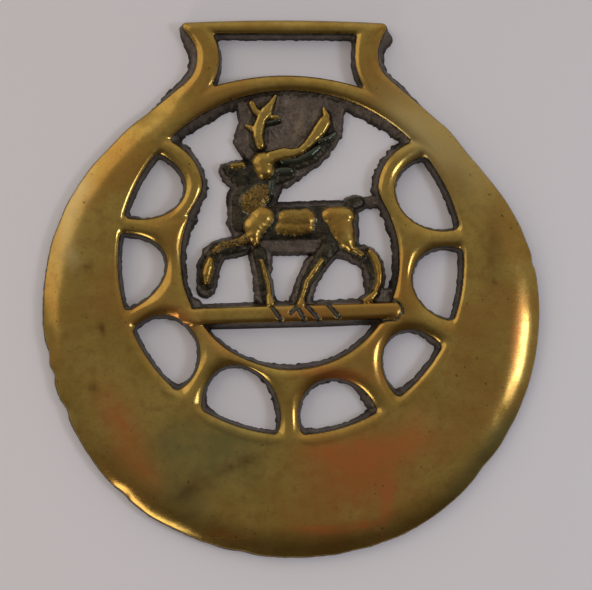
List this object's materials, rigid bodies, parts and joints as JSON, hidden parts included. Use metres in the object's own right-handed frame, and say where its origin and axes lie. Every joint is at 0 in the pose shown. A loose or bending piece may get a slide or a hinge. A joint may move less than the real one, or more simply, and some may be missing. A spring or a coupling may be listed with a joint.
{
  "type": "horse brass",
  "caption": "Cast and pierced brass harness ornament: a polished disc on a strap loop, ringed with D-shaped holes round a walking stag.",
  "frame": {"origin": "on the flat back, under the middle of the whole outline", "axes": "+Y towards the strap loop, +Z out of the polished front, +X to the right of the stag seen from the front"},
  "size_m": [0.0826, 0.0896, 0.0031],
  "materials": {
    "brass": "cast brass, worn and hand polished on the raised front, tarnished in patches, dark and rough as cast in the recesses and on the web"
  },
  "bodies": {
    "root": {"horse_brass": "brass"}
  },
  "joints": []
}
